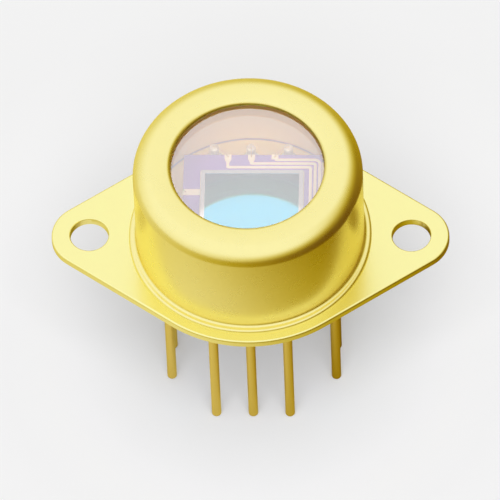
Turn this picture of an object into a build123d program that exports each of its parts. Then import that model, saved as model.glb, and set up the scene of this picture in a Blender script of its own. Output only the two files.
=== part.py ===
from build123d import *
import math
import os

# A photodiode in a flanged metal package with a window, in millimetres.
# Origin: centre of the flange's underside. +X runs along the two mounting holes, +Z to the window.

# Chip: a square die with a pale metal border round its active area
active_w = 8.8
contact_w = 0.38
contact_t = 0.02
chip_t = 0.38

# Conductor film on the substrate
film_t = 0.05
die_pad_margin = 0.08
tab_w = 0.67
tab_y = 2.51
track_count = 3
track_w = 0.26
track_pitch = 0.43
track_gap_x = 0.53
track_gap_y = 0.485
track_bend_r = 0.2
outer_bend_r = 0.5
bond_pad_w = 0.65
bond_pad_l = 0.55
bond_pad_pitch = 2.2
bond_pad_shift_x = 0.06
taper_l = 0.38

# Ceramic substrate, which sits a little to the right of the package's centre
substrate_t = 0.6
substrate_margin_x = 0.03
substrate_margin_y = 0.475
assembly_shift_x = 0.18

# Pedestal that carries the substrate above the plateau
pedestal_h = 1.2
pedestal_inset = 0.7

# Pins, three on each side of a square, in glass seals
pins_per_side = 3
pin_d = 0.9
pin_pitch = 3.48
pin_gap = 0.48
pin_out = 17.2
pin_in = 1.75
pin_tip = 0.12
seal_wall = 0.35
seal_dish = 0.1
seal_land = 0.71

# Bond ribbons
ribbon_w = 0.07
ribbon_t = 0.03
ribbon_loop = 0.3
ribbon_foot = 0.16
ribbon_rise = 0.2
chip_ribbon_pitch = 1.5

# Header: a thin flange with a raised plateau
plateau_h = 1.1
plateau_chamfer = 0.15
flange_t = 0.8
flange_edge_r = 0.2
flange_chamfer = 0.08
hole_edge_r = 0.12
waist_rim = 0.93
hole_spacing = 30.15
hole_d = 3.6
ear_rim = 1.75

# Cap: a drawn can, welded to the flange by its lip
cap_clearance = 0.15
cap_wall = 0.5
cap_h = 11.25
shoulder_r = 1.6
top_land = 3.67
aperture_edge_r = 0.38
lip_w = 0.66
lip_t = 0.38
lip_edge_r = 0.25
foot_r = 0.3

# Window, sealed under the cap's top
window_t = 1.0
window_clearance = 0.2
frit_t = 0.15
frit_setback = 0.57

# Sizes from the chip outwards
chip_w = active_w + 2 * contact_w
track_span = (track_count - 1) * track_pitch + track_w
substrate_half_x = chip_w / 2 + track_gap_x + track_span + substrate_margin_x
substrate_half_y = chip_w / 2 + track_gap_y + track_span + substrate_margin_y
pin_r = pin_d / 2
pin_row = substrate_half_y + pin_gap + pin_r
seal_r = pin_r + seal_wall
corner_pin_reach = math.hypot(pin_row, (pins_per_side - 1) / 2 * pin_pitch)
plateau_r = corner_pin_reach + seal_r + seal_land
cap_in_r = plateau_r + cap_clearance
cap_out_r = cap_in_r + cap_wall
lip_r = cap_out_r + lip_w
waist_r = lip_r + waist_rim
ear_r = hole_d / 2 + ear_rim
aperture_r = cap_out_r - top_land
inner_shoulder_r = shoulder_r - cap_wall
window_r = cap_in_r - inner_shoulder_r - window_clearance

# Heights above the flange's underside
plateau_z = flange_t + plateau_h
pedestal_z = plateau_z + pedestal_h
substrate_z = pedestal_z + substrate_t
film_z = substrate_z + film_t
chip_z = film_z + chip_t
contact_z = chip_z + contact_t
pin_head_z = plateau_z + pin_in
cap_z = flange_t + cap_h
window_z = cap_z - cap_wall - frit_t


def corner(sketch, x, y):
    # The sketch's corner at a given place
    return sketch.vertices().sort_by_distance((x, y, 0))[0]


def pin_places():
    # Name and centre of each pin, side by side round the square
    places = {}
    for side, angle in (("front", 0), ("right", 90), ("back", 180), ("left", 270)):
        for number in range(pins_per_side):
            along = (number - (pins_per_side - 1) / 2) * pin_pitch
            places[f"{side}_{number + 1}"] = Vector(along, -pin_row).rotate(Axis.Z, angle)
    return places


def header():
    outline = [Edge.make_circle(waist_r)]
    for side in (-1, 1):
        outline.append(Pos(side * hole_spacing / 2, 0) * Edge.make_circle(ear_r))
    flange = extrude(make_hull(outline), flange_t)
    flange = chamfer(flange.edges().group_by(Axis.Z)[0], flange_chamfer)
    flange = fillet(flange.edges().group_by(Axis.Z)[-1], flange_edge_r)

    plateau = Pos(0, 0, flange_t) * Cylinder(plateau_r, plateau_h, align=(Align.CENTER, Align.CENTER, Align.MIN))
    plateau = chamfer(plateau.edges().group_by(Axis.Z)[-1], plateau_chamfer)
    body = flange + plateau

    cutter_h = 4 * plateau_z
    for side in (-1, 1):
        body -= Pos(side * hole_spacing / 2, 0, 0) * Cylinder(hole_d / 2, cutter_h)
    rims = body.edges().filter_by(GeomType.CIRCLE).filter_by(lambda rim: abs(rim.radius - hole_d / 2) < 0.001)
    body = fillet(rims.group_by(Axis.Z)[-1], hole_edge_r)
    for place in pin_places().values():
        body -= Pos(place) * Cylinder(seal_r, cutter_h)
    return body


def cap():
    section = Polygon(
        (cap_in_r, flange_t),
        (lip_r, flange_t),
        (lip_r, flange_t + lip_t),
        (cap_out_r, flange_t + lip_t),
        (cap_out_r, cap_z),
        (aperture_r, cap_z),
        (aperture_r, cap_z - cap_wall),
        (cap_in_r, cap_z - cap_wall),
        align=None,
    )
    section = fillet(corner(section, cap_out_r, cap_z), shoulder_r)
    section = fillet(corner(section, cap_in_r, cap_z - cap_wall), inner_shoulder_r)
    section = fillet(corner(section, cap_out_r, flange_t + lip_t), foot_r)
    section = fillet(corner(section, lip_r, flange_t + lip_t), lip_edge_r)
    section = fillet(corner(section, aperture_r, cap_z), aperture_edge_r)
    return revolve(Plane.XZ * section, Axis.Z)


def window():
    return Pos(0, 0, window_z - window_t / 2) * Cylinder(window_r, window_t)


def window_seal():
    frit = Circle(window_r) - Circle(aperture_r + frit_setback)
    return Pos(0, 0, window_z) * extrude(frit, frit_t)


def pin(place):
    # The point at the flange's underside keeps the free length below it as a face of its own
    section = Polygon(
        (0, -pin_out),
        (pin_r - pin_tip, -pin_out),
        (pin_r, pin_tip - pin_out),
        (pin_r, 0),
        (pin_r, pin_head_z),
        (0, pin_head_z),
        align=None,
    )
    return Pos(place) * revolve(Plane.XZ * section, Axis.Z, clean=False)


def pin_seal(place):
    # Glass bead with a shallow dish at each end, which rises to meet the pin
    section = Polygon(
        (pin_r, 0),
        (seal_r, seal_dish),
        (seal_r, plateau_z - seal_dish),
        (pin_r, plateau_z),
        align=None,
    )
    return Pos(place) * revolve(Plane.XZ * section, Axis.Z)


def pedestal():
    width = 2 * (substrate_half_x - pedestal_inset)
    depth = 2 * (substrate_half_y - pedestal_inset)
    return Pos(assembly_shift_x, 0, plateau_z) * extrude(Rectangle(width, depth), pedestal_h)


def substrate():
    plate = Rectangle(2 * substrate_half_x, 2 * substrate_half_y)
    return Pos(assembly_shift_x, 0, pedestal_z) * extrude(plate, substrate_t)


def die_pad():
    # Metallised square under the chip, with a tab to the substrate's left edge
    pad_w = chip_w + 2 * die_pad_margin
    tab_l = substrate_half_x - pad_w / 4
    film = Rectangle(pad_w, pad_w)
    film += Pos(-substrate_half_x, tab_y) * Rectangle(tab_l, tab_w, align=(Align.MIN, Align.CENTER))
    return Pos(assembly_shift_x, 0, substrate_z) * extrude(film, film_t)


def track_run(number):
    # Distance of a track's centre line from the chip's centre, across and along
    step = track_w / 2 + number * track_pitch
    return (
        assembly_shift_x + chip_w / 2 + track_gap_x + step,
        chip_w / 2 + track_gap_y + step,
    )


def bond_pad_x(number):
    return bond_pad_shift_x + (number - (track_count - 1) / 2) * bond_pad_pitch


def bond_end(run_y):
    # Bond pad at the substrate's back edge, with a neck that tapers down to its track
    pad_y = substrate_half_y - bond_pad_l
    film = Pos(0, pad_y) * Rectangle(bond_pad_w, bond_pad_l, align=(Align.CENTER, Align.MIN))
    neck_l = min(taper_l, pad_y - run_y)
    if neck_l > track_w / 4:
        right_side = [
            (track_w / 2, run_y - track_w / 4),
            (track_w / 2, pad_y - neck_l),
            (bond_pad_w / 2, pad_y),
        ]
        left_side = [(-x, y) for x, y in reversed(right_side)]
        film += Polygon(*right_side, *left_side, align=None)
    return film


def track(number):
    # From a bond pad at the back edge, round the chip's right side, to its twin at the front edge
    run_x, run_y = track_run(number)
    pad_x = bond_pad_x(number)
    bend_r = outer_bend_r if number == track_count - 1 else track_bend_r
    route = FilletPolyline((pad_x, run_y), (run_x, run_y), (run_x, -run_y), (pad_x, -run_y), radius=bend_r)
    film = trace(route, track_w)
    for turn in (0, 180):
        film += Pos(pad_x, 0) * Rot(0, 0, turn) * bond_end(run_y)
    return Pos(0, 0, substrate_z) * extrude(film, film_t, dir=(0, 0, 1))


def chip():
    return Pos(assembly_shift_x, 0, film_z) * extrude(Rectangle(chip_w, chip_w), chip_t)


def chip_contact():
    border = Rectangle(chip_w, chip_w) - Rectangle(active_w, active_w)
    return Pos(assembly_shift_x, 0, chip_z) * extrude(border, contact_t)


def ribbon(start, end):
    # Flat link between two bonded feet, looped up between them
    span = end - start
    length = math.hypot(span.X, span.Y)
    foot = ribbon_foot / 2
    lift = ribbon_t / 2
    route = Polyline(
        (-foot, lift),
        (foot, lift),
        (foot + ribbon_rise, ribbon_loop),
        (length - foot - ribbon_rise, span.Z + ribbon_loop),
        (length - foot, span.Z + lift),
        (length + foot, span.Z + lift),
    )
    heading = Vector(span.X, span.Y)
    plane = Plane(origin=start, x_dir=heading, z_dir=heading.cross(Vector(0, 0, 1)))
    return extrude(plane * trace(route, ribbon_t), ribbon_w / 2, both=True)


def bond_ribbons():
    pins = pin_places()
    pad_y = substrate_half_y - bond_pad_l / 2
    links = []
    for number in range(track_count):
        for side, y in (("back", pad_y), ("front", -pad_y)):
            number_on_side = number + 1 if side == "front" else pins_per_side - number
            head = pins[f"{side}_{number_on_side}"] + Vector(0, 0, pin_head_z)
            links.append(ribbon(head, Vector(bond_pad_x(number), y, film_z)))
    tab_head = pins["left_1"] + Vector(0, 0, pin_head_z)
    tab_end_x = assembly_shift_x - substrate_half_x + bond_pad_l / 2
    links.append(ribbon(tab_head, Vector(tab_end_x, tab_y, film_z)))
    run_y = track_run(0)[1]
    contact_y = (active_w + contact_w) / 2
    for side in (-1, 1):
        x = assembly_shift_x + side * chip_ribbon_pitch / 2
        links.append(ribbon(Vector(x, -contact_y, contact_z), Vector(x, -run_y, film_z)))
    return Compound(children=links)


parts = {
    "header": header(),
    "cap": cap(),
    "window": window(),
    "window_seal": window_seal(),
    "pedestal": pedestal(),
    "substrate": substrate(),
    "die_pad": die_pad(),
    "chip": chip(),
    "chip_contact": chip_contact(),
    "bond_ribbons": bond_ribbons(),
}
for number, name in enumerate(("inner", "middle", "outer")):
    parts[f"track_{name}"] = track(number)
for name, place in pin_places().items():
    parts[f"pin_{name}"] = pin(place)
    parts[f"pin_seal_{name}"] = pin_seal(place)

os.makedirs("parts", exist_ok=True)
for name, shape in parts.items():
    export_step(shape, f"parts/{name}.step")
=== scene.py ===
import math
import bpy
from mathutils import Matrix, Vector


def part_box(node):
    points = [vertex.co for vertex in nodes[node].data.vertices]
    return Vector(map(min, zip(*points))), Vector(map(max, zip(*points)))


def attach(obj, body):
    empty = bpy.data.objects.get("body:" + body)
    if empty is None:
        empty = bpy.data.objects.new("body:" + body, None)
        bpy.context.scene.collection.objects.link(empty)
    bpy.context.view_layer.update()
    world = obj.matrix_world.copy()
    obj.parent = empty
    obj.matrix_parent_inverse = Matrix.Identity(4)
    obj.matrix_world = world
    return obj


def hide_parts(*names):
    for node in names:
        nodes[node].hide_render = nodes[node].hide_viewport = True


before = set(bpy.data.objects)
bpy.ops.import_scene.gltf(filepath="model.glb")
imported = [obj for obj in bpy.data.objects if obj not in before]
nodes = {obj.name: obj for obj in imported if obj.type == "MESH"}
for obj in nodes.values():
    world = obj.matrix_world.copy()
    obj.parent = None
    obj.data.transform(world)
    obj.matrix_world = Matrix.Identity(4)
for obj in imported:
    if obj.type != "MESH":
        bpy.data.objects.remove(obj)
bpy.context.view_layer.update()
scene = bpy.context.scene
mm = 0.001

# Levels that the whole part is built from
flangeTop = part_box("cap")[0].z
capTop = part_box("cap")[1].z
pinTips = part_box("pin_front_1")[0].z
pinNames = sorted(n for n in nodes if n.startswith("pin_") and not n.startswith("pin_seal_"))
sealNames = sorted(n for n in nodes if n.startswith("pin_seal_"))

smoothUnder = math.radians(35)   # edges that bend less than this are shaded smooth
levelFrom = 0.5                  # a face whose normal rises more than this counts as level


# Small helpers

def deselectAll():
    if bpy.context.object and bpy.context.object.mode != "OBJECT":
        bpy.ops.object.mode_set(mode="OBJECT")
    bpy.ops.object.select_all(action="DESELECT")


def pickOnly(piece):
    deselectAll()
    piece.select_set(True)
    bpy.context.view_layer.objects.active = piece


def centreOf(node):
    low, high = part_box(node)
    return (low + high) / 2


def selectRing(piece, radius, height, slack=0.002 * mm):
    # Picks the loop of points that lie on one circle about the Z axis
    bpy.ops.mesh.select_all(action="DESELECT")
    bpy.ops.object.mode_set(mode="OBJECT")
    for v in piece.data.vertices:
        v.select = abs(math.hypot(v.co.x, v.co.y) - radius) < slack and abs(v.co.z - height) < slack
    for e in piece.data.edges:
        e.select = all(piece.data.vertices[i].select for i in e.vertices)
    bpy.ops.object.mode_set(mode="EDIT")


def turnPiece(name, rings, sides, hollow=False, rounds=()):
    # A turned piece: one circle, extruded and scaled from ring to ring, with its corners rounded
    deselectAll()
    radius, height = rings[0]
    bpy.ops.mesh.primitive_circle_add(vertices=sides, radius=radius, location=(0, 0, height))
    piece = bpy.context.object
    piece.name = name
    bpy.ops.object.transform_apply(location=True, rotation=True, scale=True)
    bpy.ops.object.mode_set(mode="EDIT")
    bpy.ops.mesh.select_mode(type="VERT")
    bpy.ops.mesh.select_all(action="SELECT")
    for nextRadius, nextHeight in rings[1:]:
        bpy.ops.mesh.extrude_region_move(TRANSFORM_OT_translate={"value": (0, 0, nextHeight - height)})
        grow = nextRadius / radius
        bpy.ops.transform.resize(value=(grow, grow, 1), center_override=(0, 0, nextHeight))
        radius, height = nextRadius, nextHeight
    bpy.ops.mesh.select_all(action="DESELECT")
    bpy.ops.mesh.select_non_manifold()
    if hollow:
        bpy.ops.mesh.bridge_edge_loops()
    else:
        bpy.ops.mesh.fill_holes(sides=0)
    for ringRadius, ringHeight, size, steps in rounds:
        selectRing(piece, ringRadius, ringHeight)
        bpy.ops.mesh.bevel(offset=size, segments=steps, profile=0.5, affect="EDGES")
    bpy.ops.mesh.select_all(action="SELECT")
    bpy.ops.mesh.normals_make_consistent(inside=False)
    bpy.ops.object.mode_set(mode="OBJECT")
    bpy.ops.object.shade_smooth_by_angle(angle=smoothUnder)
    settleNormals(piece)
    return piece


def blockPiece(name, node, edge):
    # A block as large as its CAD node, with its edges taken off
    low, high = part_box(node)
    deselectAll()
    bpy.ops.mesh.primitive_cube_add(size=1, location=(low + high) / 2)
    piece = bpy.context.object
    piece.name = name
    piece.scale = high - low
    bpy.ops.object.transform_apply(location=True, rotation=True, scale=True)
    bevel = piece.modifiers.new("edge", "BEVEL")
    bevel.width = edge
    bevel.segments = 2
    bpy.ops.object.modifier_apply(modifier="edge")
    bpy.ops.object.shade_smooth_by_angle(angle=smoothUnder)
    settleNormals(piece)
    return piece


def settleNormals(piece):
    # Wide faces keep their own normal, so a rounded edge doesn't bend what they mirror
    pickOnly(piece)
    weighted = piece.modifiers.new("normals", "WEIGHTED_NORMAL")
    weighted.mode = "FACE_AREA"
    weighted.weight = 100
    weighted.keep_sharp = True
    bpy.ops.object.modifier_apply(modifier="normals")


def copyPiece(piece, name, place):
    # A copy with its own mesh, moved in its mesh so that the object stays at the origin
    twin = piece.copy()
    twin.data = piece.data.copy()
    twin.name = name
    scene.collection.objects.link(twin)
    twin.data.transform(Matrix.Translation(place))
    return twin


def standIn(piece, node, material):
    piece.data.materials.clear()
    piece.data.materials.append(material)
    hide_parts(node)
    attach(piece, "root")


# Camera, taken from the photograph

photoView = {
    "azimuth": 3.159,            # degrees round from the front
    "elevation": 54.382,
    "roll": -2.469,
    "distance": 1.0001,
    "pixelsPerRadian": 10690.0,
    "frameSide": 500,
    "sensorWidth": 36,
    "flangeTopAt": (250.35, 234.87),   # where the flange's top centre shows, in pixels
}


def addCamera():
    turn, tilt, roll = (math.radians(photoView[k]) for k in ("azimuth", "elevation", "roll"))
    back = Vector((math.sin(turn) * math.cos(tilt), -math.cos(turn) * math.cos(tilt), math.sin(tilt)))
    level = Vector((math.cos(turn), math.sin(turn), 0))
    rise = back.cross(level)
    across = level * math.cos(roll) + rise * math.sin(roll)
    up = rise * math.cos(roll) - level * math.sin(roll)
    perPixel = photoView["distance"] / photoView["pixelsPerRadian"]
    offX, offY = (p - photoView["frameSide"] / 2 for p in photoView["flangeTopAt"])
    place = Vector((0, 0, flangeTop)) + back * photoView["distance"]
    place += (up * offY - across * offX) * perPixel
    data = bpy.data.cameras.new("photoCamera")
    data.sensor_width = photoView["sensorWidth"]
    data.lens = data.sensor_width * photoView["pixelsPerRadian"] / photoView["frameSide"]
    camera = bpy.data.objects.new("photoCamera", data)
    scene.collection.objects.link(camera)
    turned = Matrix((across, up, back)).transposed().to_4x4()
    camera.matrix_world = Matrix.Translation(place) @ turned
    scene.camera = camera


addCamera()
print("camera placed")


# Shader tools

def addNode(tree, kind, at, **values):
    node = tree.nodes.new(kind)
    node.location = at
    for key, value in values.items():
        if hasattr(node, key):
            setattr(node, key, value)
        else:
            node.inputs[key].default_value = value
    return node


def calc(tree, operation, at, first, second=None):
    node = addNode(tree, "ShaderNodeMath", at, operation=operation)
    for socket, value in zip(node.inputs, (first, second)):
        if isinstance(value, bpy.types.NodeSocket):
            tree.links.new(value, socket)
        elif value is not None:
            socket.default_value = value
    return node.outputs[0]


def newGroup(name, inputs, outputs):
    # inputs and outputs list (name, socket kind, default)
    group = bpy.data.node_groups.new(name, "ShaderNodeTree")
    for label, kind, value in inputs:
        socket = group.interface.new_socket(label, in_out="INPUT", socket_type=kind)
        socket.default_value = value
    for label, kind in outputs:
        group.interface.new_socket(label, in_out="OUTPUT", socket_type=kind)
    entry = group.nodes.new("NodeGroupInput")
    entry.location = (-900, 0)
    leave = group.nodes.new("NodeGroupOutput")
    leave.location = (700, 0)
    return group, entry, leave


def placeGroup(tree, group, at, **values):
    node = tree.nodes.new("ShaderNodeGroup")
    node.node_tree = group
    node.location = at
    for key, value in values.items():
        node.inputs[key].default_value = value
    return node


def newMaterial(name):
    material = bpy.data.materials.new(name)
    material.use_nodes = True
    tree = material.node_tree
    tree.nodes.clear()
    shader = addNode(tree, "ShaderNodeBsdfPrincipled", (300, 0))
    out = addNode(tree, "ShaderNodeOutputMaterial", (700, 0))
    tree.links.new(shader.outputs["BSDF"], out.inputs["Surface"])
    return material, tree, shader, out


def rgb(r, g, b):
    return (r, g, b, 1.0)


lookOutputs = [
    ("Colour", "NodeSocketColor"),
    ("Roughness", "NodeSocketFloat"),
    ("Normal", "NodeSocketVector"),
]

plating = {
    "flatFrom": 0.05,            # rise of the normal at which the shaded wall colour starts to give way to painted sheen
    "flatTo": 0.85,              # and at which only the lit flat colour, a painted sheen, is left
    "mottle": 0.06,
    "mottleScale": 900,
    "mottleDetail": 4,
    "grain": 0.15,
    "grainScale": 9000,
    "grainDetail": 2,
    "grainDepth": 0.002 * mm,
    "sheen": (1.0, 0.93, 0.5),
}


def makePlatingGroup():
    # Satin plating with painted sheen: paler where a surface lies flat and deeper on walls, standing in for
    # the bright sky that level faces mirror; with mottle and a fine grain
    p = plating
    group, entry, leave = newGroup(
        "platingWithPaintedSheen",
        [
            ("Lit Flat Colour", "NodeSocketColor", rgb(0.9, 0.8, 0.4)),
            ("Shaded Wall Colour", "NodeSocketColor", rgb(0.8, 0.6, 0.1)),
            ("Roughness", "NodeSocketFloat", 0.3),
            ("Mottle", "NodeSocketFloat", p["mottle"]),
            ("Grain", "NodeSocketFloat", p["grain"]),
        ],
        lookOutputs,
    )
    link = group.links.new
    facing = addNode(group, "ShaderNodeNewGeometry", (-900, 400))
    parts = addNode(group, "ShaderNodeSeparateXYZ", (-720, 400))
    link(facing.outputs["Normal"], parts.inputs[0])
    flat = addNode(group, "ShaderNodeMapRange", (-400, 400), interpolation_type="SMOOTHSTEP")
    flat.inputs["From Min"].default_value = p["flatFrom"]
    flat.inputs["From Max"].default_value = p["flatTo"]
    link(calc(group, "ABSOLUTE", (-560, 400), parts.outputs["Z"]), flat.inputs["Value"])
    # Painted sheen: the lit flat colour on level faces, the shaded wall colour on upright ones
    colour = addNode(group, "ShaderNodeMix", (-200, 300), data_type="RGBA")
    link(flat.outputs["Result"], colour.inputs["Factor"])
    link(entry.outputs["Shaded Wall Colour"], colour.inputs["A"])
    link(entry.outputs["Lit Flat Colour"], colour.inputs["B"])

    place = addNode(group, "ShaderNodeTexCoord", (-900, -200))
    cloud = addNode(group, "ShaderNodeTexNoise", (-680, -100))
    grain = addNode(group, "ShaderNodeTexNoise", (-680, -400))
    for texture, label in ((cloud, "mottle"), (grain, "grain")):
        texture.inputs["Scale"].default_value = p[label + "Scale"]
        texture.inputs["Detail"].default_value = p[label + "Detail"]
        link(place.outputs["Object"], texture.inputs["Vector"])
    swing = calc(group, "SUBTRACT", (-480, -100), cloud.outputs["Fac"], 0.5)
    swing = calc(group, "MULTIPLY", (-320, -100), swing, entry.outputs["Mottle"])
    mottled = addNode(group, "ShaderNodeVectorMath", (60, 200), operation="SCALE")
    link(colour.outputs["Result"], mottled.inputs[0])
    link(calc(group, "ADD", (-160, -60), swing, 1.0), mottled.inputs["Scale"])
    link(mottled.outputs[0], leave.inputs["Colour"])
    link(calc(group, "ADD", (60, -60), entry.outputs["Roughness"], swing), leave.inputs["Roughness"])
    bump = addNode(group, "ShaderNodeBump", (60, -300), Distance=p["grainDepth"])
    link(entry.outputs["Grain"], bump.inputs["Strength"])
    link(grain.outputs["Fac"], bump.inputs["Height"])
    link(bump.outputs["Normal"], leave.inputs["Normal"])
    return group


speckle = {
    "detail": 3,
    "roughnessSwing": 0.1,
    "depth": 0.004 * mm,
}


def makeSpeckGroup():
    # Speckle in two colours, for ceramic, glass, film, paper and matt metal
    group, entry, leave = newGroup(
        "firedSpeckle",
        [
            ("Light", "NodeSocketColor", rgb(0.8, 0.8, 0.8)),
            ("Dark", "NodeSocketColor", rgb(0.6, 0.6, 0.6)),
            ("Size", "NodeSocketFloat", 4000),
            ("Roughness", "NodeSocketFloat", 0.5),
            ("Depth", "NodeSocketFloat", 0.2),
        ],
        lookOutputs,
    )
    link = group.links.new
    place = addNode(group, "ShaderNodeTexCoord", (-900, -200))
    speck = addNode(group, "ShaderNodeTexNoise", (-680, 0), Detail=speckle["detail"])
    link(place.outputs["Object"], speck.inputs["Vector"])
    link(entry.outputs["Size"], speck.inputs["Scale"])
    colour = addNode(group, "ShaderNodeMix", (-200, 200), data_type="RGBA")
    link(speck.outputs["Fac"], colour.inputs["Factor"])
    link(entry.outputs["Dark"], colour.inputs["A"])
    link(entry.outputs["Light"], colour.inputs["B"])
    link(colour.outputs["Result"], leave.inputs["Colour"])
    swing = calc(group, "MULTIPLY", (-300, -100), speck.outputs["Fac"], speckle["roughnessSwing"])
    link(calc(group, "ADD", (-100, -100), entry.outputs["Roughness"], swing), leave.inputs["Roughness"])
    bump = addNode(group, "ShaderNodeBump", (60, -300), Distance=speckle["depth"])
    link(entry.outputs["Depth"], bump.inputs["Strength"])
    link(speck.outputs["Fac"], bump.inputs["Height"])
    link(bump.outputs["Normal"], leave.inputs["Normal"])
    return group


platingGroup = makePlatingGroup()
speckGroup = makeSpeckGroup()


def linkLook(tree, look, shader):
    for label, socket in (("Colour", "Base Color"), ("Roughness", "Roughness"), ("Normal", "Normal")):
        tree.links.new(look.outputs[label], shader.inputs[socket])


def platedMaterial(name, flat, wall, roughness):
    material, tree, shader = newMaterial(name)[:3]
    coat = placeGroup(tree, platingGroup, (0, 0), Roughness=roughness)
    # The flat and wall colours are one gold, lit and shaded: painted sheen
    coat.inputs["Lit Flat Colour"].default_value = rgb(*flat)
    coat.inputs["Shaded Wall Colour"].default_value = rgb(*wall)
    shader.inputs["Metallic"].default_value = 1.0
    shader.inputs["Specular Tint"].default_value = rgb(*plating["sheen"])
    linkLook(tree, coat, shader)
    return material


def speckMaterial(name, light, dark, size, roughness, depth=0.2, metallic=0.0):
    material, tree, shader = newMaterial(name)[:3]
    speck = placeGroup(
        tree, speckGroup, (0, 0),
        Light=rgb(*light), Dark=rgb(*dark), Size=size, Roughness=roughness, Depth=depth,
    )
    shader.inputs["Metallic"].default_value = metallic
    linkLook(tree, speck, shader)
    return material


borderLook = {
    "light": (1.0, 0.93, 0.92),
    "dark": (0.96, 0.89, 0.88),
    "speckSize": 4000,
    "roughness": 0.05,
    "depth": 0.05,
    "metallic": 0.58,
    "edgeRoughness": 0.6,        # what the upright edges have beyond the top's roughness
}


def borderMaterial():
    # Bright film on top; the thin upright edges are dull, so they don't flash beside the die
    b = borderLook
    material, tree, shader = newMaterial("brightContact")[:3]
    speck = placeGroup(
        tree, speckGroup, (0, 0),
        Light=rgb(*b["light"]), Dark=rgb(*b["dark"]), Size=b["speckSize"],
        Roughness=b["roughness"], Depth=b["depth"],
    )
    face = addNode(tree, "ShaderNodeNewGeometry", (-400, -400))
    turned = addNode(tree, "ShaderNodeSeparateXYZ", (-200, -400))
    tree.links.new(face.outputs["True Normal"], turned.inputs[0])
    top = calc(tree, "GREATER_THAN", (0, -400), turned.outputs["Z"], levelFrom)
    dull = calc(tree, "SUBTRACT", (100, -600), 1.0, top)
    dull = calc(tree, "MULTIPLY", (200, -500), dull, b["edgeRoughness"])
    rough = calc(tree, "ADD", (400, -400), speck.outputs["Roughness"], dull)
    tree.links.new(speck.outputs["Colour"], shader.inputs["Base Color"])
    tree.links.new(calc(tree, "MULTIPLY", (200, -300), top, b["metallic"]), shader.inputs["Metallic"])
    tree.links.new(rough, shader.inputs["Roughness"])
    tree.links.new(speck.outputs["Normal"], shader.inputs["Normal"])
    return material


def windowMaterial():
    # Clear glass with a bright coat; lamp light passes straight through it
    material, tree, shader, out = newMaterial("coatedWindow")
    speck = placeGroup(tree, speckGroup, (0, 0), Light=rgb(1, 1, 1), Dark=rgb(0.97, 0.97, 0.97), Size=700)
    tree.links.new(speck.outputs["Colour"], shader.inputs["Base Color"])
    shader.inputs["Roughness"].default_value = 0.0
    shader.inputs["IOR"].default_value = 1.5
    shader.inputs["Transmission Weight"].default_value = 1.0
    shader.inputs["Coat Weight"].default_value = 1.0
    shader.inputs["Coat IOR"].default_value = 2.1
    shader.inputs["Coat Roughness"].default_value = 0.0
    path = addNode(tree, "ShaderNodeLightPath", (0, 500))
    clear = addNode(tree, "ShaderNodeBsdfTransparent", (300, 200))
    mix = addNode(tree, "ShaderNodeMixShader", (520, 100))
    lamps = calc(tree, "MAXIMUM", (300, 400), path.outputs["Is Shadow Ray"], path.outputs["Is Diffuse Ray"])
    tree.links.new(lamps, mix.inputs["Fac"])
    tree.links.new(shader.outputs["BSDF"], mix.inputs[1])
    tree.links.new(clear.outputs["BSDF"], mix.inputs[2])
    tree.links.new(mix.outputs[0], out.inputs["Surface"])
    return material


finish = {
    # Each plated finish gives a lit flat colour and a shaded wall colour: painted sheen
    "header": platedMaterial("satinGoldHeader", (1.0, 0.95, 0.44), (0.97, 0.89, 0.42), 0.25),
    "cap": platedMaterial("satinGoldCap", (0.99, 0.91, 0.42), (0.97, 0.88, 0.42), 0.28),
    "pin": platedMaterial("drawnGoldPin", (0.9, 0.76, 0.3), (0.80, 0.62, 0.2), 0.34),
    "window": windowMaterial(),
    "frit": speckMaterial("fusedFrit", (0.58, 0.5, 0.25), (0.48, 0.4, 0.18), 6000, 0.5),
    "groundEdge": speckMaterial("groundGlassEdge", (0.34, 0.31, 0.27), (0.27, 0.24, 0.2), 5000, 0.6),
    "sealGlass": speckMaterial("paleSealGlass", (0.68, 0.7, 0.62), (0.56, 0.6, 0.5), 2500, 0.1),
    "ceramic": speckMaterial("firedCeramic", (0.3, 0.13, 0.42), (0.25, 0.1, 0.37), 5000, 0.6),
    "film": speckMaterial("goldFilm", (0.97, 0.76, 0.5), (0.92, 0.68, 0.42), 5000, 0.4),
    "silicon": speckMaterial("coatedSilicon", (0.05, 0.62, 0.9), (0.04, 0.6, 0.88), 800, 0.02, 0.0, 1.0),
    "contact": borderMaterial(),
    "capInside": speckMaterial("mattGoldInside", (1.0, 0.62, 0.22), (0.94, 0.56, 0.18), 1500, 0.5, 0.1),
    # Darker gold on the aperture's rim: painted shade
    "rimShade": platedMaterial("paintedShadeRim", (0.62, 0.46, 0.09), (0.46, 0.33, 0.05), 0.4),
    # Painted shade: a dark gold for the crease below the plateau and the inside of the shoulder
    "paintedShade": speckMaterial("paintedShadeGold", (0.42, 0.26, 0.19), (0.33, 0.2, 0.14), 1500, 0.5, 0.1),
    "pinHead": speckMaterial("headedGoldPin", (0.98, 0.86, 0.62), (0.94, 0.8, 0.55), 3000, 0.42, 0.1, 0.6),
    "ribbon": platedMaterial("goldRibbon", (0.95, 0.8, 0.4), (0.9, 0.72, 0.3), 0.2),
}
print("finishes made")


# Header: the CAD solid's own shape, shaded smoothly over its rounded edges

headerShape = {
    "mergeWithin": 0.0005 * mm,
    "flatWithin": math.radians(0.1),   # neighbouring faces that differ by less become one
}


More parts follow.
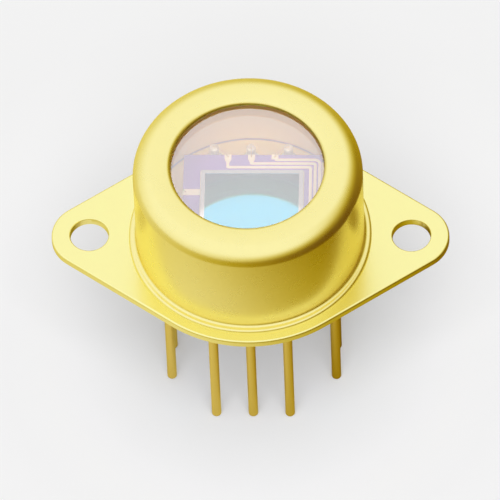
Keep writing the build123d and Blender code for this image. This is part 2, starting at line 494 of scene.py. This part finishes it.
def makeHeader():
    piece = bpy.data.objects.new("headerPlate", nodes["header"].data.copy())
    scene.collection.objects.link(piece)
    pickOnly(piece)
    bpy.ops.object.mode_set(mode="EDIT")
    bpy.ops.mesh.select_all(action="SELECT")
    bpy.ops.mesh.remove_doubles(threshold=headerShape["mergeWithin"])
    bpy.ops.mesh.dissolve_limited(angle_limit=headerShape["flatWithin"])
    bpy.ops.object.mode_set(mode="OBJECT")
    # The CAD mesh's own normals don't fit the merged edges
    bpy.ops.mesh.customdata_custom_splitnormals_clear()
    bpy.ops.object.shade_smooth_by_angle(angle=smoothUnder)
    settleNormals(piece)
    standIn(piece, "header", finish["header"])


makeHeader()
print("header smoothed")


# Cap: a drawn can with a rounded shoulder and a thin lip at its foot

capShape = {
    "sides": 256,
    "wall": 0.5 * mm,
    "lipOut": 0.66 * mm,
    "lipThick": 0.38 * mm,
    "lipEdge": 0.25 * mm,
    "shoulder": 1.6 * mm,
    "shoulderSteps": 20,
    "bendSteps": 12,             # inside the shoulder
    "topLand": 3.58 * mm,
    "foot": 0.3 * mm,
    "footSteps": 5,
    "apertureEdge": 0.44 * mm,
    "edgeSteps": 6,              # round the aperture and the lip
    "underEdge": 0.05 * mm,
    "underSteps": 2,
    "shadeBelow": 0.1 * mm,       # painted shade covers the inside from this far under the plateau's top downwards
    "insideWithin": 0.1 * mm,    # how far past the inner wall a face still counts as inside
    "underWithin": 0.01 * mm,    # and how far above the underside of the top
    "sideways": 0.1,             # share of a normal that may point outwards on an inside face
}


def makeCap():
    s = capShape
    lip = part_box("cap")[1].x
    outer = lip - s["lipOut"]
    inner = outer - s["wall"]
    aperture = outer - s["topLand"]
    lipTop = flangeTop + s["lipThick"]
    underTop = capTop - s["wall"]
    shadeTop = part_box("header")[1].z - s["shadeBelow"]
    rings = [
        (inner, flangeTop), (lip, flangeTop), (lip, lipTop), (outer, lipTop),
        (outer, capTop), (aperture, capTop), (aperture, underTop), (inner, underTop), (inner, shadeTop),
    ]
    rounds = [
        (outer, capTop, s["shoulder"], s["shoulderSteps"]),
        (inner, underTop, s["shoulder"] - s["wall"], s["bendSteps"]),
        (outer, lipTop, s["foot"], s["footSteps"]),
        (aperture, capTop, s["apertureEdge"], s["edgeSteps"]),
        (lip, lipTop, s["lipEdge"], s["edgeSteps"]),
        (aperture, underTop, s["underEdge"], s["underSteps"]),
    ]
    piece = turnPiece("capShell", rings, s["sides"], hollow=True, rounds=rounds)
    standIn(piece, "cap", finish["cap"])
    for look in ("capInside", "rimShade", "paintedShade"):
        piece.data.materials.append(finish[look])
    bend = underTop - s["shoulder"] + s["wall"]
    rimShadeOut = aperture + s["apertureEdge"] / (2 * s["edgeSteps"])
    # The upright inside is matt gold; inside the shoulder and down from just under the plateau's top it
    # takes a dark gold as painted shade
    for face in piece.data.polygons:
        centre, normal = face.center, face.normal
        out = math.hypot(centre.x, centre.y)
        inward = centre.x * normal.x + centre.y * normal.y < s["sideways"] * out
        within = out < inner + s["insideWithin"] and centre.z < underTop + s["underWithin"]
        # The aperture's inner rim takes darker gold as painted shade
        if out < rimShadeOut and centre.z > underTop:
            face.material_index = 2
        elif inward and within:
            # Faces under the plateau's top and inside the shoulder take painted shade
            face.material_index = 1 if shadeTop < centre.z < bend else 3


makeCap()
print("cap turned")


# Window and the frit ring that seals it

windowShape = {"sides": 192, "edge": 0.06 * mm, "edgeSteps": 2, "sealSteps": 3}


def makeWindow():
    low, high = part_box("window")
    s = windowShape
    rounds = [(high.x, z, s["edge"], s["edgeSteps"]) for z in (low.z, high.z)]
    piece = turnPiece("windowDisc", [(high.x, low.z), (high.x, high.z)], s["sides"], rounds=rounds)
    standIn(piece, "window", finish["window"])
    piece.data.materials.append(finish["groundEdge"])
    for face in piece.data.polygons:
        if abs(face.normal.z) < levelFrom:
            face.material_index = 1

    low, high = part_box("window_seal")
    holeSide = min(math.hypot(v.co.x, v.co.y) for v in nodes["window_seal"].data.vertices)
    rings = [(holeSide, low.z), (high.x, low.z), (high.x, high.z), (holeSide, high.z)]
    rounds = [(holeSide, z, s["edge"], s["sealSteps"]) for z in (low.z, high.z)]
    piece = turnPiece("fritRing", rings, s["sides"], hollow=True, rounds=rounds)
    standIn(piece, "window_seal", finish["frit"])


makeWindow()
print("window glazed")


# Pins and the glass bead round each of them

pinShape = {
    "sides": 48,
    "tip": 0.12 * mm,
    "tipSteps": 4,
    "head": 0.2 * mm,
    "headSteps": 6,
    "dish": 0.1 * mm,
    "dishSteps": 5,
}


def makePins():
    s = pinShape
    low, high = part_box(pinNames[0])
    radius = (high.x - low.x) / 2
    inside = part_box("header")[1].z
    rings = [(radius, z) for z in (low.z, inside, high.z)]
    rounds = [(radius, low.z, s["tip"], s["tipSteps"]), (radius, high.z, s["head"], s["headSteps"])]
    rod = turnPiece("pinPattern", rings, s["sides"], rounds=rounds)
    for node in pinNames:
        centre = centreOf(node)
        piece = copyPiece(rod, node.replace("pin_", "rod_"), (centre.x, centre.y, 0))
        standIn(piece, node, finish["pin"])
        piece.data.materials.append(finish["pinHead"])
        for face in piece.data.polygons:
            face.material_index = int(face.center.z > inside)
    bpy.data.objects.remove(rod)

    low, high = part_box(sealNames[0])
    outer = (high.x - low.x) / 2
    meniscus = []
    for step in range(s["dishSteps"] + 1):
        t = step / s["dishSteps"]
        meniscus.append((radius + t * (outer - radius), s["dish"] * (1 - (1 - t) ** 2)))
    rings = [(r, low.z + drop) for r, drop in meniscus]
    rings += [(r, high.z - drop) for r, drop in reversed(meniscus)]
    bead = turnPiece("beadPattern", rings, s["sides"], hollow=True)
    for node in sealNames:
        centre = centreOf(node)
        piece = copyPiece(bead, node.replace("pin_seal_", "bead_"), (centre.x, centre.y, 0))
        standIn(piece, node, finish["sealGlass"])
    bpy.data.objects.remove(bead)


makePins()
print("pins set in their beads")


# Blocks inside the cap: pedestal, substrate and chip

blockEdges = {"pedestal": 0.12 * mm, "substrate": 0.03 * mm, "chip": 0.015 * mm}


def makeBlocks():
    for name, node, slot, look in (
        ("pedestalBlock", "pedestal", "plated_header", "header"),
        ("ceramicPlate", "substrate", "ceramic_plate", "ceramic"),
        ("chipDie", "chip", "silicon", "silicon"),
    ):
        standIn(blockPiece(name, node, blockEdges[node]), node, finish[look])


makeBlocks()
print("blocks stacked")


# Pieces that keep their CAD shape and only get a finish

def dressNode(node, material):
    for slot in nodes[node].material_slots:
        slot.material = material


dressNode("chip_contact", finish["contact"])
dressNode("bond_ribbons", finish["ribbon"])
for node in ("die_pad", "track_inner", "track_middle", "track_outer"):
    dressNode(node, finish["film"])
print("kept nodes dressed")


# Studio: pale paper under an even sky, one soft key light, and a darker, warmer room to the front right.
# The room shows only in reflections, so the paper and the sky stay pale for the camera.

studio = {
    "paper": 0.88,               # the sky as the camera sees it
    "paperRadius": 1.2,
    "paperSides": 128,
    "paperGlow": 0.12,           # share of the paper's tone that no shadow takes away
    # Painted light on the paper outwards from under the part, lighter in a ring round the shadow and bluer
    # close in: share of the reach where it ends, and colour
    "paintedLightReach": 40 * mm,
    "paperPaintedLight": (
        (0.18, (0.906, 0.915, 0.968)),
        (0.25, (0.893, 0.902, 0.933)),
        (0.33, (0.915, 0.920, 0.942)),
        (0.43, (0.937, 0.938, 0.956)),
        (0.50, (0.933, 0.933, 0.942)),
        (0.60, (0.911, 0.911, 0.921)),
        (0.69, (0.910, 0.910, 0.918)),
        (0.80, (0.896, 0.896, 0.900)),
        (0.95, (0.880, 0.880, 0.882)),
    ),
    "paperBounce": 0.2,          # the paper's tone for light that already comes from a matt surface
    "skyFill": 0.62,             # and as it lights matt surfaces
    "keyLight": 1.48,
    "keySpread": 40,             # degrees across
    "keyTilt": 30,               # degrees from overhead, towards the camera
    # Reflected tones: the darkest side in degrees round from the front, mean depth and swing
    "walls": (102, 0.43, 0.37),
    "farPaper": (75, 0.55, 0.31),
    "nearPaper": (130, 0.43, 0.28),
    "backOpen": 0.15,            # how much lighter the room is at the back
    "falloff": 3.0,              # how fast the back's and the peak's shares fall off to the sides
    "nearReach": 25 * mm,
    "farReach": 38 * mm,
    # Degrees above the floor at which the walls give way to open sky
    "wallTop": 50,
    "wallBack": 8,               # how much higher that is at the back
    "wallPeak": (112, 26),       # and to one side: where, and by how much
    # The soft box over the back, which only polished glass is sharp enough to show
    "boxLevel": 2.45,
    "boxColour": (0.98, 0.98, 1.03),
    "boxFrom": 25,               # degrees above the floor
    "boxTo": 45,
    # How a brightness turns into a warm colour: green falls off a little, blue only above a level
    "darkest": 0.01,
    "greenFall": 1.35,
    "blueFrom": 0.35,
    "blueFall": 2.2,
}


def makeCompassGroup():
    # Where a vector points: its shares of right and front, its reach and its angle above the floor
    group, entry, leave = newGroup(
        "compass",
        [("Vector", "NodeSocketVector", (0, 0, 0))],
        [(label, "NodeSocketFloat") for label in ("Right", "Front", "Reach", "Rise")],
    )
    parts = addNode(group, "ShaderNodeSeparateXYZ", (-720, 0))
    group.links.new(entry.outputs["Vector"], parts.inputs[0])
    x, y, z = parts.outputs
    squareX = calc(group, "MULTIPLY", (-560, 200), x, x)
    squareY = calc(group, "MULTIPLY", (-560, 100), y, y)
    reach = calc(group, "SQRT", (-300, 200), calc(group, "ADD", (-420, 200), squareX, squareY))
    rise = calc(group, "ARCTAN2", (0, 200), z, reach)
    forward = calc(group, "MULTIPLY", (-200, -200), y, -1.0)
    for label, value in (
        ("Right", calc(group, "DIVIDE", (0, 0), x, reach)),
        ("Front", calc(group, "DIVIDE", (0, -200), forward, reach)),
        ("Reach", reach),
        ("Rise", calc(group, "DEGREES", (200, 200), rise)),
    ):
        group.links.new(value, leave.inputs[label])
    return group


def openBack(tree, compass, depth, at):
    # Takes the depth away towards the back, where the paper sweeps up
    x, y = at
    behind = calc(tree, "MULTIPLY", (x - 160, y), compass.outputs["Front"], -1.0)
    behind = calc(tree, "MAXIMUM", (x, y), behind, 0.0)
    less = calc(tree, "POWER", (x + 160, y), behind, studio["falloff"])
    less = calc(tree, "MULTIPLY", (x + 320, y), less, studio["backOpen"])
    return calc(tree, "MAXIMUM", (x + 640, y), calc(tree, "SUBTRACT", (x + 480, y), depth, less), 0.0)


def roomDepth(tree, compass, facing, mean, swing, at):
    # Darkest to the side that it faces, lightest to the opposite one
    turn = math.radians(facing)
    x, y = at
    right = calc(tree, "MULTIPLY", (x, y), compass.outputs["Right"], math.sin(turn))
    front = calc(tree, "MULTIPLY", (x, y - 160), compass.outputs["Front"], math.cos(turn))
    swung = calc(tree, "MULTIPLY", (x + 320, y), calc(tree, "ADD", (x + 160, y), right, front), swing)
    return calc(tree, "ADD", (x + 480, y), swung, mean)


def makeWarmGroup():
    # Turns a brightness into a colour that gets warmer as it gets darker
    group, entry, leave = newGroup(
        "warmShade", [("Level", "NodeSocketFloat", 1.0)], [("Colour", "NodeSocketColor")],
    )
    join = addNode(group, "ShaderNodeCombineColor", (300, 0))
    level = calc(group, "MAXIMUM", (-400, 0), entry.outputs["Level"], studio["darkest"])
    over = calc(group, "SUBTRACT", (-300, -300), level, studio["blueFrom"])
    over = calc(group, "MAXIMUM", (-200, -300), over, 0.0)
    over = calc(group, "DIVIDE", (-100, -300), over, 1.0 - studio["blueFrom"])
    group.links.new(level, join.inputs["Red"])
    group.links.new(calc(group, "POWER", (0, -100), level, studio["greenFall"]), join.inputs["Green"])
    group.links.new(calc(group, "POWER", (0, -300), over, studio["blueFall"]), join.inputs["Blue"])
    group.links.new(join.outputs["Color"], leave.inputs["Colour"])
    return group


compassGroup = makeCompassGroup()
warmGroup = makeWarmGroup()


def addSky():
    world = bpy.data.worlds.new("studioSky")
    scene.world = world
    world.use_nodes = True
    tree = world.node_tree
    tree.nodes.clear()
    link = tree.links.new
    look = addNode(tree, "ShaderNodeTexCoord", (-1400, 300))
    compass = placeGroup(tree, compassGroup, (-1200, 300))
    link(look.outputs["Generated"], compass.inputs["Vector"])
    depth = roomDepth(tree, compass, *studio["walls"], (-900, 500))
    depth = openBack(tree, compass, depth, (-900, 700))
    behind = calc(tree, "MULTIPLY", (-900, 100), compass.outputs["Front"], -studio["wallBack"])
    peakAt, peakRise = studio["wallPeak"]
    peak = roomDepth(tree, compass, peakAt, 0.0, 1.0, (-1000, -60))
    peak = calc(tree, "MAXIMUM", (-400, -60), peak, 0.0)
    peak = calc(tree, "POWER", (-320, -60), peak, studio["falloff"])
    peak = calc(tree, "MULTIPLY", (-240, -60), peak, peakRise)
    top = calc(tree, "ADD", (-740, 100), calc(tree, "ADD", (-820, 100), behind, peak), studio["wallTop"])
    high = calc(tree, "DIVIDE", (-580, 200), compass.outputs["Rise"], top)
    fade = addNode(tree, "ShaderNodeMapRange", (-400, 200), interpolation_type="SMOOTHSTEP")
    fade.inputs["To Min"].default_value = 1.0
    fade.inputs["To Max"].default_value = 0.0
    link(high, fade.inputs["Value"])
    shade = calc(tree, "MULTIPLY", (40, 300), depth, fade.outputs["Result"])
    warm = placeGroup(tree, warmGroup, (340, 300))
    link(calc(tree, "SUBTRACT", (180, 300), 1.0, shade), warm.inputs["Level"])
    reflected = addNode(tree, "ShaderNodeBackground", (560, 300))
    link(warm.outputs["Colour"], reflected.inputs["Color"])
    box = addNode(tree, "ShaderNodeBackground", (560, 600))
    box.inputs["Color"].default_value = rgb(*studio["boxColour"])
    box.inputs["Strength"].default_value = studio["boxLevel"]
    sharp = addNode(tree, "ShaderNodeLightPath", (-200, 700))
    bounced = calc(tree, "SUBTRACT", (0, 600), 1.0, sharp.outputs["Is Transmission Ray"])
    bounced = calc(tree, "MULTIPLY", (160, 700), sharp.outputs["Is Singular Ray"], bounced)
    over = addNode(tree, "ShaderNodeMapRange", (0, 900), interpolation_type="SMOOTHSTEP")
    over.inputs["From Min"].default_value = studio["boxFrom"]
    over.inputs["From Max"].default_value = studio["boxTo"]
    link(compass.outputs["Rise"], over.inputs["Value"])
    shown = addNode(tree, "ShaderNodeMixShader", (760, 400))
    link(calc(tree, "MULTIPLY", (320, 700), bounced, over.outputs["Result"]), shown.inputs["Fac"])
    link(reflected.outputs[0], shown.inputs[1])
    link(box.outputs[0], shown.inputs[2])

    path = addNode(tree, "ShaderNodeLightPath", (-400, -200))
    rays = path.outputs
    paper = addNode(tree, "ShaderNodeBackground", (560, 0))
    paper.inputs["Color"].default_value = rgb(1, 1, 1)
    seen = addNode(tree, "ShaderNodeMix", (300, -100), data_type="FLOAT")
    seen.inputs["A"].default_value = studio["skyFill"]
    seen.inputs["B"].default_value = studio["paper"]
    link(rays["Is Camera Ray"], seen.inputs["Factor"])
    link(seen.outputs["Result"], paper.inputs["Strength"])
    shiny = calc(tree, "MAXIMUM", (-200, -100), rays["Is Glossy Ray"], rays["Is Transmission Ray"])
    direct = calc(tree, "LESS_THAN", (-200, -300), rays["Diffuse Depth"], 0.5)
    mirrored = calc(tree, "MULTIPLY", (0, -200), shiny, direct)
    pick = addNode(tree, "ShaderNodeMixShader", (960, 100))
    link(mirrored, pick.inputs["Fac"])
    link(paper.outputs[0], pick.inputs[1])
    link(shown.outputs[0], pick.inputs[2])
    out = addNode(tree, "ShaderNodeOutputWorld", (1160, 100))
    link(pick.outputs[0], out.inputs["Surface"])


def addPaper():
    deselectAll()
    bpy.ops.mesh.primitive_circle_add(
        vertices=studio["paperSides"], radius=studio["paperRadius"], fill_type="NGON",
        location=(0, 0, pinTips),
    )
    paper = bpy.context.object
    paper.name = "palePaper"
    material, tree, shader, out = newMaterial("palePaper")
    link = tree.links.new
    speck = placeGroup(
        tree, speckGroup, (-300, -200),
        Light=rgb(1, 1, 1), Dark=rgb(0.996, 0.996, 0.996), Size=300,
    )
    place = addNode(tree, "ShaderNodeTexCoord", (-1400, 200))
    compass = placeGroup(tree, compassGroup, (-1200, 200))
    link(place.outputs["Object"], compass.inputs["Vector"])
    outward = addNode(tree, "ShaderNodeMapRange", (-500, 500), interpolation_type="SMOOTHSTEP")
    outward.inputs["From Min"].default_value = studio["nearReach"]
    outward.inputs["From Max"].default_value = studio["farReach"]
    link(compass.outputs["Reach"], outward.inputs["Value"])
    shade = addNode(tree, "ShaderNodeMix", (-300, 300), data_type="FLOAT")
    link(outward.outputs["Result"], shade.inputs["Factor"])
    link(roomDepth(tree, compass, *studio["nearPaper"], (-1000, 300)), shade.inputs["A"])
    far = roomDepth(tree, compass, *studio["farPaper"], (-1000, -100))
    link(openBack(tree, compass, far, (-1000, 900)), shade.inputs["B"])
    warm = placeGroup(tree, warmGroup, (0, 200))
    link(calc(tree, "SUBTRACT", (-140, 200), 1.0, shade.outputs["Result"]), warm.inputs["Level"])
    # The paper throws no light back at itself by way of the part, so its shadow stays grey
    path = addNode(tree, "ShaderNodeLightPath", (-300, 700))
    second = calc(tree, "GREATER_THAN", (-100, 600), path.outputs["Diffuse Depth"], 0.5)
    # Painted light: the paper is lighter in a ring round the part's shadow and bluer close in
    paintedLightRamp = addNode(tree, "ShaderNodeValToRGB", (-300, 0))
    stops = paintedLightRamp.color_ramp.elements
    while len(stops) < len(studio["paperPaintedLight"]):
        stops.new(1.0)
    for stop, (position, tone) in zip(stops, studio["paperPaintedLight"]):
        stop.position = position
        stop.color = rgb(*tone)
    share = calc(tree, "DIVIDE", (-500, 0), compass.outputs["Reach"], studio["paintedLightReach"])
    link(share, paintedLightRamp.inputs["Fac"])
    pale = addNode(tree, "ShaderNodeVectorMath", (0, -100), operation="MULTIPLY")
    link(speck.outputs["Colour"], pale.inputs[0])
    link(paintedLightRamp.outputs["Color"], pale.inputs[1])
    # Seen in reflections, the paper takes painted shade: darker and warmer by direction and reach
    tinted = addNode(tree, "ShaderNodeMix", (200, 200), data_type="RGBA")
    link(path.outputs["Is Glossy Ray"], tinted.inputs["Factor"])
    link(pale.outputs[0], tinted.inputs["A"])
    link(warm.outputs["Colour"], tinted.inputs["B"])
    pick = addNode(tree, "ShaderNodeMix", (400, 200), data_type="RGBA")
    pick.inputs["B"].default_value = rgb(*[studio["paperBounce"]] * 3)
    link(second, pick.inputs["Factor"])
    link(tinted.outputs["Result"], pick.inputs["A"])
    matt = addNode(tree, "ShaderNodeBsdfDiffuse", (560, 0))
    link(pick.outputs["Result"], matt.inputs["Color"])
    glow = addNode(tree, "ShaderNodeEmission", (560, -150))
    link(pick.outputs["Result"], glow.inputs["Color"])
    blend = addNode(tree, "ShaderNodeMixShader", (740, 0))
    blend.inputs["Fac"].default_value = studio["paperGlow"]
    link(matt.outputs["BSDF"], blend.inputs[1])
    link(glow.outputs[0], blend.inputs[2])
    link(blend.outputs[0], out.inputs["Surface"])
    tree.nodes.remove(shader)
    paper.data.materials.append(material)


def addKeyLight():
    data = bpy.data.lights.new("softKey", "SUN")
    data.energy = studio["keyLight"]
    data.angle = math.radians(studio["keySpread"])
    lamp = bpy.data.objects.new("softKey", data)
    scene.collection.objects.link(lamp)
    lamp.rotation_euler = (math.radians(studio["keyTilt"]), 0, 0)
    lamp.visible_glossy = False


addSky()
addPaper()
addKeyLight()
scene.view_settings.view_transform = "Standard"
print("studio lit")
